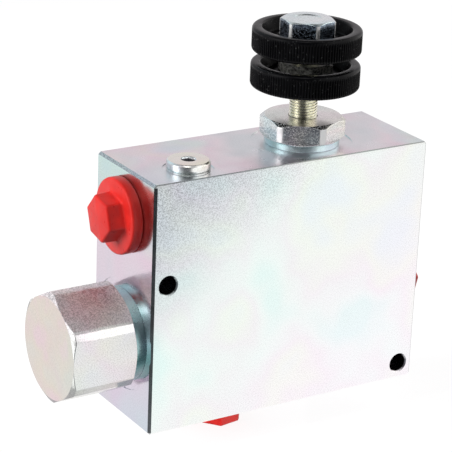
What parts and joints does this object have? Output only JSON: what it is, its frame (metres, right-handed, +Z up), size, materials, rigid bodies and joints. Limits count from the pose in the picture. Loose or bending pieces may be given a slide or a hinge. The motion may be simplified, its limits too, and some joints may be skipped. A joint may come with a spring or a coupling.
{
  "type": "hydraulic flow control valve",
  "caption": "Plated steel block valve with hexagon compensator cap, knurled adjusting and lock knobs on a screw spindle, and ports closed by plastic plugs.",
  "frame": {"origin": "centre of the block's rear face", "axes": "+Y out of the rear face, +Z up along the adjusting spindle, +X towards the outlet port"},
  "size_m": [0.1482, 0.04, 0.1442],
  "materials": {
    "plated_steel": "zinc plated and passivated, satin with pale iridescent tints",
    "bright_steel": "turned and zinc plated, semi-gloss",
    "spring_steel": "drawn wire",
    "rubber": "moulded nitrile rubber",
    "black_plastic": "moulded thermoset, fine vertical ribs",
    "red_plastic": "moulded polyethylene, semi-gloss"
  },
  "bodies": {
    "valve_block": {"valve_body": "plated_steel", "gland_nut": "bright_steel", "gland_o_ring": "rubber", "spindle_o_ring": "rubber", "compensator_cap": "plated_steel", "cap_o_ring": "rubber", "passage_plug": "plated_steel", "passage_plug_o_ring": "rubber", "inlet_plug": "red_plastic", "outlet_plug": "red_plastic", "tank_plug": "red_plastic", "metering_spring": "spring_steel", "compensator_spring": "spring_steel"},
    "metering": {"metering_spool": "bright_steel"},
    "spindle": {"adjusting_spindle": "bright_steel", "spindle_stop_ring": "spring_steel", "adjusting_knob": "black_plastic", "adjusting_knob_insert": "bright_steel"},
    "lock_carrier": {"lock_knob_insert": "bright_steel"},
    "lock": {"lock_knob": "black_plastic", "lock_nut": "bright_steel"},
    "compensator": {"compensator_spool": "bright_steel"}
  },
  "joints": [
    {"name": "spindle_travel", "type": "slide", "parent": "valve_block", "child": "metering", "axis": [0, 0, 1], "range_m": [-0.0015, 0.0045], "deforming": ["metering_spring"]},
    {"name": "knob_turn", "type": "hinge", "parent": "metering", "child": "spindle", "pos_m": [0.015, -0.02, 0.045], "axis": [0, 0, 1], "range_deg": [-540, 1620]},
    {"name": "lock_travel", "type": "slide", "parent": "spindle", "child": "lock_carrier", "axis": [0, 0, 1], "range_m": [-0.00825, 0.003]},
    {"name": "lock_turn", "type": "hinge", "parent": "lock_carrier", "child": "lock", "pos_m": [0.015, -0.02, 0.045], "axis": [0, 0, 1], "range_deg": [-2970, 1080]},
    {"name": "compensator_slide", "type": "slide", "parent": "valve_block", "child": "compensator", "axis": [1, 0, 0], "range_m": [0, 0.009], "stiffness_N_per_m": 1500, "springref_m": -0.002, "deforming": ["compensator_spring"]}
  ],
  "couplings": [
    {"joint": "knob_turn", "follows": "spindle_travel", "rad_per_m": 6283.2},
    {"joint": "lock_turn", "follows": "lock_travel", "rad_per_m": 6283.2}
  ]
}
